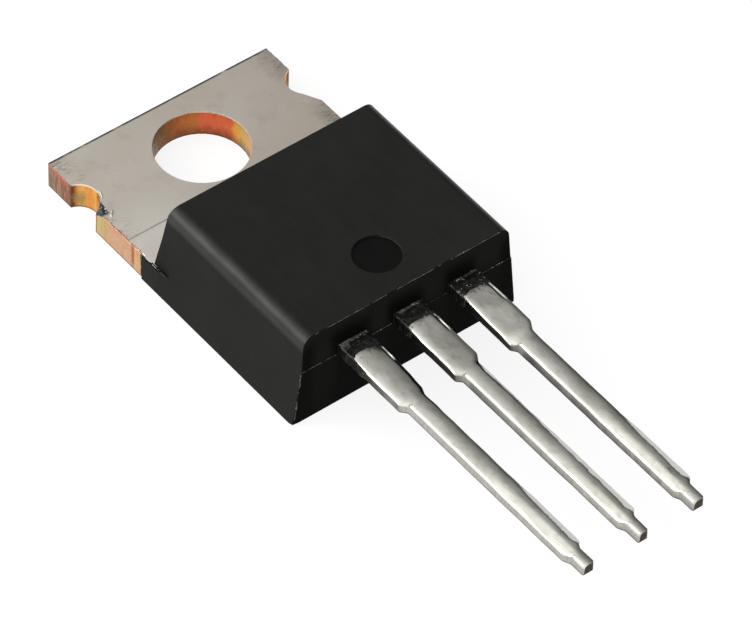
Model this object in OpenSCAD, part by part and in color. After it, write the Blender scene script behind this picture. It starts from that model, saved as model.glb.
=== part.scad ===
// Power transistor in a flat three-lead through-hole package with a bolt-down tab.
// Millimetres. The origin is the centre of the mounting hole on the back face. +Y runs along
// the tab away from the leads and +Z points out of the top of the moulding, so the part lies
// on its back. The gate lead is at -X, the drain lead in the middle and the source lead at +X.

/* [Tab] */
// Width of the tab
tab_width = 10.34; // [10:0.02:10.5]
// Thickness of the tab
tab_thickness = 1.22; // [1.14:0.02:1.4]
// Mounting hole centre to the free end of the tab
hole_to_end = 2.78; // [2.6:0.02:3]
// Diameter of the mounting hole
hole_diameter = 3.78; // [3.5:0.02:3.94]
// Radius of the round notch in each side
notch_radius = 0.81; // [0.6:0.01:0.9]
// Centre of each notch outside the tab's side
notch_offset = 0.21; // [0.1:0.01:0.4]
// Centre of each notch beyond the mounting hole
notch_beyond_hole = 0.55; // [0.4:0.01:0.7]
// Length of the torn corner at the body side of each notch
torn_length = 0.9; // [0.5:0.05:1]
// Lean of the torn corner away from the tab's side
torn_lean = 28; // [15:1:40]
// Depth of the torn corner at the tab's side
torn_depth = 0.24; // [0.1:0.02:0.4]
// Distance from the notch's edge to the middle of that torn corner
torn_setback = 0.11; // [0:0.01:0.2]
// Mounting hole centre to the coined line across the tab
hole_to_line = 2.25; // [2:0.05:2.6]
// Width of the coined line
line_width = 0.06; // [0.04:0.01:0.1]
// Depth of the coined line
line_depth = 0.03; // [0.02:0.01:0.05]
// Width of the tab where the moulding grips it
neck_width = 8.4; // [8:0.1:9]
// Radius of the corners of the neck
neck_corner = 0.25; // [0.1:0.05:0.4]
// Depth of full-width tab inside the moulding
shoulder_cover = 0.35; // [0.2:0.05:0.5]
// Mounting hole centre to the end of the copper pad
hole_to_pad_end = 9.9; // [9.6:0.1:10.4]
// Mounting hole centre to the groove that locks the moulding
hole_to_lock = 4.6; // [4.4:0.05:4.8]
// Width of the locking groove
lock_width = 0.3; // [0.2:0.05:0.4]
// Depth of the locking groove
lock_depth = 0.16; // [0.1:0.02:0.25]

/* [Moulding] */
// Height of the moulding above the back face
body_height = 4.33; // [4.24:0.01:4.65]
// Mounting hole centre to the face where the moulding stands on the tab
hole_to_body = 3.8; // [3.6:0.02:4]
// Mounting hole centre to the lead face at the parting plane
hole_to_front = 12.54; // [12.3:0.02:12.8]
// Draft of the face at the tab
tab_face_draft = 9.3; // [3:0.1:12]
// Draft of the sides below the parting plane
side_draft_lower = 7.3; // [2:0.1:9]
// Draft of the sides above the parting plane
side_draft_upper = 4.5; // [3:0.1:12]
// Draft of the lead face below the parting plane
front_draft_lower = 2; // [1:0.1:5]
// Draft of the lead face above the parting plane
front_draft_upper = 3; // [1:0.1:6]
// Ledge along the parting line on the lead face
parting_ledge = 0.04; // [0.02:0.01:0.08]
// Radius along the top side edges
edge_radius = 0.5; // [0.2:0.05:0.7]
// Thickness of the moulding outside the tab's sides
side_skin = 0.06; // [0.04:0.01:0.1]
// Reach of that skin along the tab's sides beyond the moulding
side_skin_reach = 0.6; // [0.3:0.05:0.9]
// Length over which that skin runs into the moulding's sides
side_skin_blend = 0.8; // [0.4:0.05:1.2]
// Diameter of the ejector mark
ejector_diameter = 1.92; // [1.5:0.02:2.2]
// Depth of the ejector mark
ejector_depth = 0.08; // [0.05:0.01:0.15]
// Centre of the ejector mark behind the lead face
ejector_setback = 1.92; // [1.6:0.02:2.4]
// Length of the flash that clings to each lead
flash_length = 0.75; // [0.4:0.05:1]
// Thickness of that flash
flash_thickness = 0.03; // [0.02:0.01:0.06]

/* [Leads] */
// Distance between lead centres
lead_pitch = 2.54; // [2.41:0.01:2.67]
// Back face to the underside of the leads
lead_underside = 2.69; // [2.41:0.01:2.8]
// Thickness of the leads
lead_thickness = 0.4; // [0.36:0.01:0.5]
// Width of the leads next to the moulding
lead_wide = 1.3; // [1.14:0.02:1.4]
// Width of the leads past the shoulder
lead_narrow = 0.83; // [0.69:0.01:1]
// Width of the lead tips
tip_width = 0.52; // [0.35:0.01:0.6]
// Lead face to the shoulder
shoulder_reach = 3.44; // [3.2:0.02:3.6]
// Lead face to the ends of the leads
lead_length = 13.54; // [13.36:0.02:14.4]
// Length of the narrow tip
tip_length = 0.75; // [0.5:0.05:1]
// Radius of the corners of the lead tips
tip_corner = 0.06; // [0.02:0.01:0.1]
// Length of each taper between two widths
taper_length = 0.3; // [0.2:0.02:0.4]
// Radius of the bends at the tapers
taper_radius = 0.25; // [0.1:0.05:0.3]
// Angle of the drain lead's step up from the tab
step_angle = 60; // [45:1:70]
// Width of the bond posts inside the moulding
post_width = 2.3; // [2.2:0.05:2.5]
// Length of the bond posts
post_length = 1.3; // [1.2:0.05:1.4]
// Radius of the corners of the bond posts
post_corner = 0.2; // [0.05:0.05:0.3]
// Moulding between the bond posts and the lead face
post_cover = 0.7; // [0.6:0.05:0.8]
// Shift of the bond posts away from the drain lead
post_shift = 0.2; // [0.1:0.02:0.24]

/* [Chip] */
// Width of the silicon chip
chip_width = 4.4; // [4:0.1:5]
// Length of the silicon chip
chip_length = 3.4; // [3:0.1:3.6]
// Thickness of the silicon chip
chip_thickness = 0.25; // [0.2:0.01:0.3]
// Mounting hole centre to the chip's centre
hole_to_chip = 7; // [6.8:0.05:7.2]
// Thickness of the solder under the chip
solder_thickness = 0.05; // [0.03:0.01:0.08]
// Width of the solder around the chip
solder_margin = 0.1; // [0.05:0.05:0.2]

/* [Bond wires] */
// Diameter of the source wires
source_wire = 0.38; // [0.25:0.01:0.4]
// Diameter of the gate wire
gate_wire = 0.15; // [0.12:0.01:0.2]
// Radius of the wire loops
loop_radius = 1.95; // [1.85:0.05:2.3]
// Length of each flattened bond foot
foot_length = 0.6; // [0.4:0.05:0.7]
// Distance of the inner source wire's chip foot from the chip's centre line
source_foot_x = 0.4; // [0.3:0.05:0.6]
// Distance between the source wires on the chip
source_foot_spacing = 1.1; // [1:0.05:1.2]
// Distance between the source wires on the post
post_foot_spacing = 1; // [0.8:0.05:1.1]
// Distance of the chip feet from the chip's edges
chip_foot_inset = 0.35; // [0.3:0.05:0.5]
// Distance of the post feet from the posts' near edge
post_foot_inset = 0.25; // [0.2:0.05:0.3]

/* [Hidden] */
$fn = 64;

// Segments of a rounded corner in an outline
corner_steps = 6;
// Overshoot of a cut past the surface that it opens
over = 0.5;
// Sizes of a pressed bond foot, in wire radii: its own radius, the height of its axis above the
// surface, and the height at which the loop leaves it
foot_spread = 1.25;
foot_rise = 0.2;
loop_start = 0.6;

body_width = tab_width + 2 * side_skin;
parting_width = body_width - 2 * lead_underside * tan(side_draft_lower);
top_width = parting_width - 2 * (body_height - lead_underside) * tan(side_draft_upper);
lead_top = lead_underside + lead_thickness;
lead_end_y = -hole_to_front - lead_length;
post_near_y = -hole_to_front + post_cover + post_length;
post_far_y = -hole_to_front + post_cover;
post_x = lead_pitch + post_shift;
chip_top = tab_thickness + solder_thickness + chip_thickness;
chip_foot_y = -hole_to_chip - chip_length / 2 + chip_foot_inset + foot_length;
post_foot_y = post_near_y - post_foot_inset - foot_length;

// ---------- outlines ----------

function unit(v) = v / norm(v);

// Arc of radius r that rounds the corner b between its neighbours a and c
function corner(a, b, c, r) =
    r == 0 ? [b] :
    let (
        u = unit(a - b),
        v = unit(c - b),
        half = acos(u * v) / 2,
        centre = b + unit(u + v) * r / sin(half),
        first = b + u * r / tan(half) - centre,
        last = b + v * r / tan(half) - centre,
        start = atan2(first.y, first.x),
        sweep = (atan2(last.y, last.x) - start + 540) % 360 - 180
    )
    [for (i = [0 : corner_steps])
        centre + r * [cos(start + sweep * i / corner_steps), sin(start + sweep * i / corner_steps)]];

// Outline through corners [x, y, r], each rounded by its own radius r
function rounded(corners) =
    let (
        n = len(corners),
        spot = [for (c = corners) [c.x, c.y]]
    )
    [for (i = [0 : n - 1])
        each corner(spot[(i + n - 1) % n], spot[i], spot[(i + 1) % n], corners[i].z)];

// Right half of a row of corners followed by its mirror image
function both_halves(half) =
    concat(half, [for (i = [len(half) - 1 : -1 : 0]) [-half[i].x, half[i].y, half[i].z]]);

// Corners down the right side of a lead, from its shoulder to its tip
function lead_side() =
    let (
        shoulder_y = -hole_to_front - shoulder_reach,
        tip_y = lead_end_y + tip_length
    )
    [
        [lead_wide / 2, shoulder_y, taper_radius],
        [lead_narrow / 2, shoulder_y - taper_length, taper_radius],
        [lead_narrow / 2, tip_y + taper_length, taper_radius],
        [tip_width / 2, tip_y, taper_radius],
        [tip_width / 2, lead_end_y, tip_corner]
    ];

// Extrudes a YZ outline evenly to both sides of the YZ plane
module along_x(width) {
    rotate([90, 0, 90])
        linear_extrude(height = width, center = true)
            children();
}

// ---------- drain tab ----------

module tab_outline() {
    neck_y = -hole_to_body - shoulder_cover;
    half = [
        [tab_width / 2, hole_to_end, 0],
        [tab_width / 2, neck_y, 0],
        [neck_width / 2, neck_y, neck_corner],
        [neck_width / 2, -hole_to_pad_end, neck_corner]
    ];
    difference() {
        polygon(rounded(both_halves(half)));
        circle(d = hole_diameter);
        for (side = [-1, 1])
            translate([side * (tab_width / 2 + notch_offset), notch_beyond_hole])
                circle(r = notch_radius);
    }
}

// Groove across the top of the tab, centred on y
module tab_groove(y, width, depth) {
    translate([-tab_width, y - width / 2, tab_thickness - depth])
        cube([2 * tab_width, width, depth + over]);
}

// Slanted cut that takes the top corner at the body side of the right-hand notch
module torn_corner() {
    notch_half = sqrt(notch_radius * notch_radius - notch_offset * notch_offset);
    corner_y = notch_beyond_hole - notch_half;
    inset = torn_length / 2 * sin(torn_lean);
    translate([tab_width / 2 - inset, corner_y - torn_setback, tab_thickness])
        rotate([0, 0, torn_lean])
            rotate([0, atan(torn_depth / inset), 0])
                translate([0, -torn_length, 0])
                    cube([2 * torn_length, 2 * torn_length, torn_length]);
}

// Side view of the drain lead: tab top, step up, then straight out to the tip
module drain_lead_side() {
    back = lead_thickness * tan(step_angle / 2);
    foot_y = -hole_to_pad_end;
    step_y = foot_y - (lead_top - tab_thickness) / tan(step_angle);
    polygon([
        [foot_y + lead_thickness, tab_thickness],
        [foot_y, tab_thickness],
        [step_y, lead_top],
        [lead_end_y, lead_top],
        [lead_end_y, lead_underside],
        [step_y - back, lead_underside],
        [foot_y - back, tab_thickness - lead_thickness],
        [foot_y + lead_thickness, tab_thickness - lead_thickness]
    ]);
}

module drain_solid() {
    difference() {
        linear_extrude(height = tab_thickness)
            tab_outline();
        tab_groove(-hole_to_line, line_width, line_depth);
        tab_groove(-hole_to_lock, lock_width, lock_depth);
        torn_corner();
        mirror([1, 0, 0])
            torn_corner();
    }
    intersection() {
        along_x(lead_wide + 2 * over)
            drain_lead_side();
        linear_extrude(height = body_height)
            polygon(rounded(both_halves(concat(
                [[lead_wide / 2, lead_thickness - hole_to_pad_end, 0]],
                lead_side()
            ))));
    }
}

module drain_tab() {
    color("#b1aba1")
        drain_solid();
}

// ---------- gate and source leads ----------

// Right-hand lead with its bond post, in one flat piece
module source_lead_solid() {
    outer = post_shift + post_width / 2;
    inner = post_shift - post_width / 2;
    near = post_near_y;
    far = post_far_y;
    far_radius = min(post_corner, -inner - lead_wide / 2);
    right = concat([[lead_wide / 2, far, 0]], lead_side());
    post = [[inner, far, far_radius], [inner, near, post_corner], [outer, near, post_corner],
            [outer, far, post_corner]];
    translate([lead_pitch, 0, lead_underside])
        linear_extrude(height = lead_thickness)
            polygon(rounded(concat(post, both_halves(right))));
}

module gate_lead_solid() {
    mirror([1, 0, 0])
        source_lead_solid();
}

module gate_lead() {
    color("#c9c8c3")
        gate_lead_solid();
}

module source_lead() {
    color("#c9c8c3")
        source_lead_solid();
}

// ---------- chip ----------

module chip_block(margin, bottom, height) {
    translate([-chip_width / 2 - margin, -hole_to_chip - chip_length / 2 - margin, bottom])
        cube([chip_width + 2 * margin, chip_length + 2 * margin, height]);
}

module solder_solid() {
    chip_block(solder_margin, tab_thickness, solder_thickness);
}

module chip_solid() {
    chip_block(0, tab_thickness + solder_thickness, chip_thickness);
}

module die_solder() {
    color("#8f9197")
        solder_solid();
}

module silicon_die() {
    color("#4d5361")
        chip_solid();
}

// ---------- bond wires ----------

// Foot of a bond wire: a round bar along +X from the origin, pressed into the surface under it
module bond_foot(radius, length) {
    translate([0, 0, foot_rise * radius])
        rotate([0, 90, 0])
            cylinder(r = foot_spread * radius, h = length);
}

// Round loop in the XZ plane over two points, the first at the lower left
module wire_loop(from, to, radius) {
    half = (to - from) / 2;
    drop = sqrt(loop_radius * loop_radius - half * half);
    centre = from + half + drop * [half.y, -half.x] / norm(half);
    start = atan2(to.y - centre.y, to.x - centre.x);
    finish = atan2(from.y - centre.y, from.x - centre.x);
    translate([centre.x, 0, centre.y])
        rotate([90, 0, 0])
            rotate([0, 0, start])
                rotate_extrude(angle = (finish - start + 360) % 360)
                    translate([loop_radius, 0])
                        circle(r = radius);
}

// Places a bond wire's XZ plane upright over the line from its chip foot to its post foot
module over_line(chip_foot, post_foot) {
    translate(concat(chip_foot, [0]))
        rotate([0, 0, atan2(post_foot.y - chip_foot.y, post_foot.x - chip_foot.x)])
            children();
}

// Feet and loop of a bond wire, with the feet still sunk into the chip and the post
module wire_blank(chip_foot, post_foot, radius) {
    span = norm(post_foot - chip_foot);
    bar = foot_length + radius;
    low = chip_top + loop_start * radius;
    high = lead_top + loop_start * radius;
    over_line(chip_foot, post_foot) {
        translate([0, 0, chip_top])
            bond_foot(radius, bar);
        translate([span - bar, 0, lead_top])
            bond_foot(radius, bar);
        wire_loop([foot_length, low], [span - foot_length, high], radius);
    }
}

// Bond wire with its feet flat on the chip and the post
module bond_wire(chip_foot, post_foot, radius) {
    bar = foot_length + radius;
    difference() {
        wire_blank(chip_foot, post_foot, radius);
        over_line(chip_foot, post_foot) {
            translate([-over, -2 * radius, chip_top - 2 * radius])
                cube([bar + 2 * over, 4 * radius, 2 * radius]);
            translate([norm(post_foot - chip_foot) - bar - radius, -2 * radius, lead_top - 2 * radius])
                cube([bar + radius + over, 4 * radius, 2 * radius]);
        }
    }
}

// Places of the feet of the gate wire and of source wire number 0 (inner) or 1 (outer)
gate_chip_foot = [chip_foot_inset - chip_width / 2, chip_foot_y];
gate_post_foot = [-post_x, post_foot_y];

function source_chip_foot(number) =
    [source_foot_x + number * source_foot_spacing, chip_foot_y];

function source_post_foot(number) =
    [post_x + (number - 0.5) * post_foot_spacing, post_foot_y];

module source_wire_node(number) {
    color("#d6d8dc")
        bond_wire(source_chip_foot(number), source_post_foot(number), source_wire / 2);
}

module gate_wire_node() {
    color("#d6d8dc")
        bond_wire(gate_chip_foot, gate_post_foot, gate_wire / 2);
}

// ---------- moulded body ----------

// Side view of the moulding, with its drafted faces and the ledge at the parting line
module body_side() {
    upper_y = -hole_to_front + parting_ledge;
    polygon([
        [-hole_to_front + lead_underside * tan(front_draft_lower), 0],
        [-hole_to_front, lead_underside],
        [upper_y, lead_underside],
        [upper_y + (body_height - lead_underside) * tan(front_draft_upper), body_height],
        [-hole_to_body - (body_height - tab_thickness) * tan(tab_face_draft), body_height],
        [-hole_to_body, tab_thickness],
        [-hole_to_body, 0]
    ]);
}

// View of the moulding from the leads, with its rounded top edges
module body_front() {
    half = [
        [body_width / 2, 0, 0],
        [parting_width / 2, lead_underside, 0],
        [top_width / 2, body_height, edge_radius]
    ];
    polygon(rounded(both_halves(half)));
}

module body_block() {
    intersection() {
        along_x(body_width + 2 * over)
            body_side();
        rotate([90, 0, 0])
            linear_extrude(height = hole_to_front + over)
                body_front();
    }
}

// Thin skin of resin on the tab's sides, which runs into the moulding's sides behind the tab's shoulders
module side_skins() {
    outer = body_width / 2;
    sunk = outer - tab_thickness * tan(side_draft_lower) - side_skin;
    shoulder_y = -hole_to_body - shoulder_cover;
    skin = [
        [sunk - side_skin, -hole_to_body + side_skin_reach],
        [outer, -hole_to_body + side_skin_reach],
        [outer, shoulder_y],
        [sunk, shoulder_y - side_skin_blend],
        [sunk - side_skin, shoulder_y - side_skin_blend]
    ];
    for (side = [0, 1])
        mirror([side, 0, 0])
            linear_extrude(height = tab_thickness)
                polygon(skin);
}

// Sleeves of flash on the roots of the three leads
module lead_flash() {
    for (place = [-1 : 1])
        translate([
            place * lead_pitch - lead_wide / 2 - flash_thickness,
            -hole_to_front - flash_length,
            lead_underside - flash_thickness
        ])
            cube([
                lead_wide + 2 * flash_thickness,
                flash_length + over,
                lead_thickness + 2 * flash_thickness
            ]);
}

module moulded_body() {
    color("#272726")
        difference() {
            union() {
                body_block();
                side_skins();
                lead_flash();
            }
            translate([0, -hole_to_front + ejector_setback, body_height - ejector_depth])
                cylinder(d = ejector_diameter, h = ejector_depth + over);
            drain_solid();
            gate_lead_solid();
            source_lead_solid();
            solder_solid();
            chip_solid();
            wire_blank(gate_chip_foot, gate_post_foot, gate_wire / 2);
            for (number = [0, 1])
                wire_blank(source_chip_foot(number), source_post_foot(number), source_wire / 2);
        }
}

drain_tab();
gate_lead();
source_lead();
die_solder();
silicon_die();
gate_wire_node();  // gate_wire
source_wire_node(0);  // source_wire_1
source_wire_node(1);  // source_wire_2
moulded_body();
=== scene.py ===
import math
import bmesh
import bpy
import numpy as np
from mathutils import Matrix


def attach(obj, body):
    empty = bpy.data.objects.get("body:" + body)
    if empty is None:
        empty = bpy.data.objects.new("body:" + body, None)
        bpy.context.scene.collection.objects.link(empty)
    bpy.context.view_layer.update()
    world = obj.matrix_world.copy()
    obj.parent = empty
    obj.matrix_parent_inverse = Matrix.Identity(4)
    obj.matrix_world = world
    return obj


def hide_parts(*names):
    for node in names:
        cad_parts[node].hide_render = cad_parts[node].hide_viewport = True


# Finishes a three-lead power transistor: a tin-plated copper tab, an epoxy moulding and tinned leads.
# In the dictionaries sizes are millimetres and colours are display values from 0 to 255. Meshes are in metres.

mm = 0.001
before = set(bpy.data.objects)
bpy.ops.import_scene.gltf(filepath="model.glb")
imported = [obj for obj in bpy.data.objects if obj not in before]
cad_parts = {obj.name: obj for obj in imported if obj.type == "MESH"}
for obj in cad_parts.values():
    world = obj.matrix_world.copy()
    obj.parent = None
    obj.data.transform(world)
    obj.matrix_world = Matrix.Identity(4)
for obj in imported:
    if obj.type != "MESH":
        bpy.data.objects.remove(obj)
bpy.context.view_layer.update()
print("frame loaded")

camera = {
    "azimuth": -39.502,  # degrees from +Y, seen from above
    "elevation": 47.035,
    "roll": 2.077,
    "target": (0.527, -10.05, 0.44),
    "distance": 240.0,
    "lens": 309.52,  # on the 36 mm sensor
}


# A vector over its length
def unit(vector):
    return np.array(vector) / np.linalg.norm(vector)


# Puts an object into the scene, turned so that its own axes are the given ones, at a place in millimetres
def addObject(name, data, axes=None, place=None):
    item = bpy.data.objects.new(name, data)
    bpy.context.scene.collection.objects.link(item)
    if axes:
        matrix = np.eye(4)
        matrix[:3, :3] = np.column_stack(axes)
        matrix[:3, 3] = place * mm
        item.matrix_world = matrix.T.tolist()
    return item


# The camera stands back from the target along the line of sight, and is turned about that line by the roll
def placeCamera():
    azimuth, elevation, roll = (math.radians(camera[k]) for k in ("azimuth", "elevation", "roll"))
    forward = np.array([-math.sin(azimuth) * math.cos(elevation), math.cos(azimuth) * math.cos(elevation),
                        -math.sin(elevation)])
    right = unit(np.cross(forward, (0, 0, 1)))
    up = np.cross(right, forward)
    axes = (right * math.cos(roll) + up * math.sin(roll), up * math.cos(roll) - right * math.sin(roll), -forward)
    data = bpy.data.cameras.new("camera")
    data.lens = camera["lens"]
    data.clip_start = 0.01
    place = np.array(camera["target"]) - forward * camera["distance"]
    bpy.context.scene.camera = addObject("camera", data, axes, place)


placeCamera()


# A method that puts a Math node behind a wire
def mathNode(operation):
    return lambda self, *others: self.calculate(operation, *others)


# One output socket; arithmetic on it adds Math nodes
class Wire:
    def __init__(self, graph, socket):
        self.graph = graph
        self.socket = socket

    def calculate(self, operation, *others):
        return self.graph.wire("ShaderNodeMath", dict(enumerate((self, *others))), operation=operation)

    __add__ = __radd__ = mathNode("ADD")
    __sub__ = mathNode("SUBTRACT")
    __mul__ = __rmul__ = mathNode("MULTIPLY")
    __truediv__ = mathNode("DIVIDE")
    largest = mathNode("MAXIMUM")
    size = mathNode("ABSOLUTE")
    root = mathNode("SQRT")

    def __rsub__(self, other):
        return -self + other

    def __rtruediv__(self, other):
        return self.calculate("POWER", -1.0) * other

    def __neg__(self):
        return self * -1.0

    # An even slope from 0 at low to 1 at high, level outside them
    def between(self, low, high):
        return self.graph.wire("ShaderNodeMapRange", {0: self, 1: low, 2: high, 3: 0.0, 4: 1.0}, clamp=True)

    # 1 at the centre, falling evenly to 0 at the reach on both sides
    def near(self, centre, reach):
        return (self - centre).size().between(reach, 0.0)

    # Noise turned from 0 to 1 into a swing about zero, half the amount each way
    def swing(self, amount):
        return (self - 0.5) * amount


# Display values from 0 to 255 to a linear colour with its alpha: a straight line near black, a power above
def linear(colour):
    parts = [v / 255 for v in colour]
    return (*(v / 12.92 if v <= 0.04045 else ((v + 0.055) / 1.055) ** 2.4 for v in parts), 1.0)


class Graph:
    def __init__(self, tree):
        self.tree = tree
        tree.nodes.clear()

    # Gives each named or numbered socket its link or value
    def fill(self, node, values):
        for name, value in values.items():
            socket = node.inputs[name]
            if isinstance(value, Wire):
                self.tree.links.new(value.socket, socket)
            else:
                socket.default_value = linear(value) if socket.type == "RGBA" else value

    # Adds a node: its settings first, then what goes into its sockets
    def node(self, kind, values=None, **settings):
        node = self.tree.nodes.new(kind)
        stops = settings.pop("stops", [])
        for name, value in settings.items():
            setattr(node, name, value)
        for k, (position, colour) in enumerate(stops):
            elements = node.color_ramp.elements
            stop = elements[k] if k < len(elements) else elements.new(position)
            stop.position = position
            stop.color = colour
        self.fill(node, values or {})
        return node

    # Adds a node and gives its first output, or the one that is named
    def wire(self, kind, values=None, output=0, **settings):
        return Wire(self, self.node(kind, values, **settings).outputs[output])

    def split(self, vector):
        node = self.node("ShaderNodeSeparateXYZ", {0: vector})
        return [Wire(self, output) for output in node.outputs]

    def ramp(self, amount, stops):
        return self.wire("ShaderNodeValToRGB", {0: amount}, stops=stops)

    # Colours at stations of a value, blended evenly between them
    def bands(self, amount, stations):
        low, high = stations[0][0], stations[-1][0]
        return self.ramp(amount.between(low, high),
                         [((at - low) / (high - low), linear(colour)) for at, colour in stations])


# A material under construction, with its Principled shader, its paints by name, the colour laid so far and its
# object coordinates in millimetres
class Surface(Graph):
    def __init__(self, name, paints):
        self.paints = paints
        self.colour = paints.get("colour")
        self.material = bpy.data.materials.new(name)
        self.material.use_nodes = True
        super().__init__(self.material.node_tree)
        self.shader = self.node("ShaderNodeBsdfPrincipled")
        self.output = self.node("ShaderNodeOutputMaterial", {0: Wire(self, self.shader.outputs[0])})
        place = self.wire("ShaderNodeTexCoord", output="Object")
        self.place = self.wire("ShaderNodeVectorMath", {0: place, "Scale": 1 / mm}, operation="SCALE")
        self.x, self.y, self.z = self.split(self.place)

    # Object coordinates turned about Z and divided by the feature size, so that features are size times
    # the stretch long
    def mapped(self, size, stretch=(1, 1, 1), turn=0.0, shift=0.0):
        return self.wire("ShaderNodeMapping",
                         {0: self.place, "Location": (shift, shift, shift), "Rotation": (0, 0, turn),
                          "Scale": tuple(size * s for s in stretch)}, vector_type="TEXTURE")

    # Noise between 0 and 1, with features about size millimetres across
    def noise(self, size, detail=3.0, stretch=(1, 1, 1), turn=0.0, shift=0.0):
        vector = self.mapped(size, stretch, turn, shift)
        return self.wire("ShaderNodeTexNoise", {"Vector": vector, "Scale": 1.0, "Detail": detail})

    # Distance to the nearest of scattered points, about size millimetres apart
    def cells(self, size, shift=0.0):
        vector = self.mapped(size, shift=shift)
        return self.wire("ShaderNodeTexVoronoi", {"Vector": vector, "Scale": 1.0}, "Distance")

    # The second colour over the first by the amount; either may be the name of a paint
    def mix(self, amount, first, second):
        first, second = (self.paints[c] if isinstance(c, str) else c for c in (first, second))
        return self.wire("ShaderNodeMix", {0: amount, 6: first, 7: second}, 2, data_type="RGBA")

    # Lays a colour over the ones before it, by the amount
    def lay(self, amount, colour):
        self.colour = self.mix(amount, self.colour, colour)

    # Distance in the XY plane from a point
    def away(self, x, y):
        across, along = self.x - x, self.y - y
        return (across * across + along * along).root()

    # A number stored at each point of the mesh
    def stored(self, name):
        return self.wire("ShaderNodeAttribute", output="Fac", attribute_name=name)

    # Fills the shader's sockets and adds a bump from a height in micrometres
    def finish(self, rough, height, values):
        self.fill(self.shader, {"Base Color": self.colour, "Roughness": rough, **values})
        if height is not None:
            bump = self.wire("ShaderNodeBump", {"Height": height, "Distance": mm * mm, "Strength": 1.0})
            self.fill(self.shader, {"Normal": bump})
        return self.material


plating = {
    "colour": (230, 223, 212),
    "warm": (221, 210, 196),
    "dark": (112, 104, 94),
    "stroke": (150, 140, 127),
    # pale scuffs, and the painted light beside the moulding
    "pale": (247, 241, 231),
    "farEdge": (36, 31, 26),
    "groove": (52, 46, 40),
    # dark facets, and bright ones that are painted glints
    "torn": ((60, 60, 64), (240, 241, 243)),
    "bare": (206, 152, 124),
    "roughness": 0.42,
    "metal": 0.85,
    "end": 2.78,
    "grooveAt": -2.25,
    "bow": -3.0,  # drop of the tab's sides below its middle, micrometres at 1 mm, growing as the square
}


# Matte tin: a fine grain, short dark strokes near the sides and corners, a dark line on the far edge, painted
# shade in and beside the groove, torn facets beside the notch with painted glints, painted light beside the
# moulding and bare copper along the sides
def makePlating():
    s = Surface("matte_tin", plating)
    broad = s.noise(3.5, 2.0)
    cloud = s.noise(0.9, shift=3.0)
    grain = s.noise(0.045, 2.0)
    sideways = s.noise(0.045, 2.0, (7, 1, 1), turn=0.12)
    scuffs = s.noise(0.10, 2.0, (2.6, 1, 1), turn=-0.3, shift=1.0)
    scratches = s.noise(0.03, 2.0, (1, 26, 1), turn=0.7, shift=9.0)
    patches = s.noise(0.5, 2.0, shift=7.0)
    sides = s.x.size().between(4.1, 5.1) * s.y.size().between(0.5, 1.5) * patches.between(0.38, 0.6)
    rim = (plating["end"] - s.y).between(0.12, 0.05) * patches.between(0.2, 0.45)
    # Painted shade: a dark band in and beside the groove, where shade falls
    groove = s.y.near(plating["grooveAt"], 0.08).between(0.2, 0.6) * patches.between(0.1, 0.5)
    s.lay(broad.between(0.3, 0.7), "warm")
    s.lay(cloud.between(0.55, 0.8) * 0.25, "stroke")
    worn = sides * (0.75 + s.x.between(3.0, 4.0) * 0.25)
    s.lay(sideways.between(0.5, 0.66) * worn * 0.8, "dark")
    s.lay(scuffs.between(0.52, 0.66) * worn * 0.55, "dark")
    s.lay(scuffs.between(0.42, 0.34) * sides * 0.8, "pale")
    s.lay(s.x.between(4.3, 5.0) * s.y.size().between(0.4, 1.4) * 0.35, "dark")
    s.lay(scratches.between(0.68, 0.78) * 0.35, "stroke")
    s.lay(rim * 0.95, "farEdge")
    s.lay(groove * 0.85, "groove")
    # The torn patch beside the notch: dark facets, and bright ones that are painted glints
    torn = (s.y + 0.38 + cloud.swing(0.3)).size().between(0.36, 0.26)
    torn = (s.x + cloud.swing(0.35)).between(-4.76, -4.84) * torn
    s.lay(torn, s.mix(s.cells(0.13, shift=4.0).between(0.40, 0.28), *plating["torn"]))
    # Painted light: the top is made paler beside the moulding, where the moulding shades it
    s.lay(s.y.between(-0.5, -2.6) * s.x.between(-1.0, -3.5) * 0.9, "pale")
    bare = (s.x.size() - 5.10 + scuffs.swing(0.6) + sideways.swing(0.3)).between(0.0, 0.03)
    bare = bare * s.y.between(-0.6, -0.9) * s.y.between(-3.1, -2.9)
    s.lay(bare * 0.8, "bare")
    rough = plating["roughness"] + broad.swing(0.12) + grain.swing(0.16) - sides * 0.08
    height = grain * 2.4 + scratches.between(0.6, 0.8) * -3.0 + sideways * sides * 6.0 + cloud * 5.0
    height = height + s.x * s.x * plating["bow"]
    return s.finish(rough, height, {"Metallic": plating["metal"]})


tornMetal = {
    "colour": (58, 58, 62),
    "grey": (96, 92, 88),
    "bright": (232, 234, 236),
    "roughness": 0.35,
}


# Metal torn open at the corners of the tab: dark facets with bright ones among them, which are painted glints
def makeTorn():
    s = Surface("torn_metal", tornMetal)
    facets = s.cells(0.16, shift=4.0)
    patches = s.noise(0.12, 2.0, shift=7.0)
    s.lay(patches.between(0.4, 0.6), "grey")
    # Painted glints on some facets
    s.lay(facets.between(0.36, 0.26) * patches.between(0.42, 0.55), "bright")
    return s.finish(tornMetal["roughness"] + patches.swing(0.3), facets * 20 + patches * 10, {"Metallic": 0.8})


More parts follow.
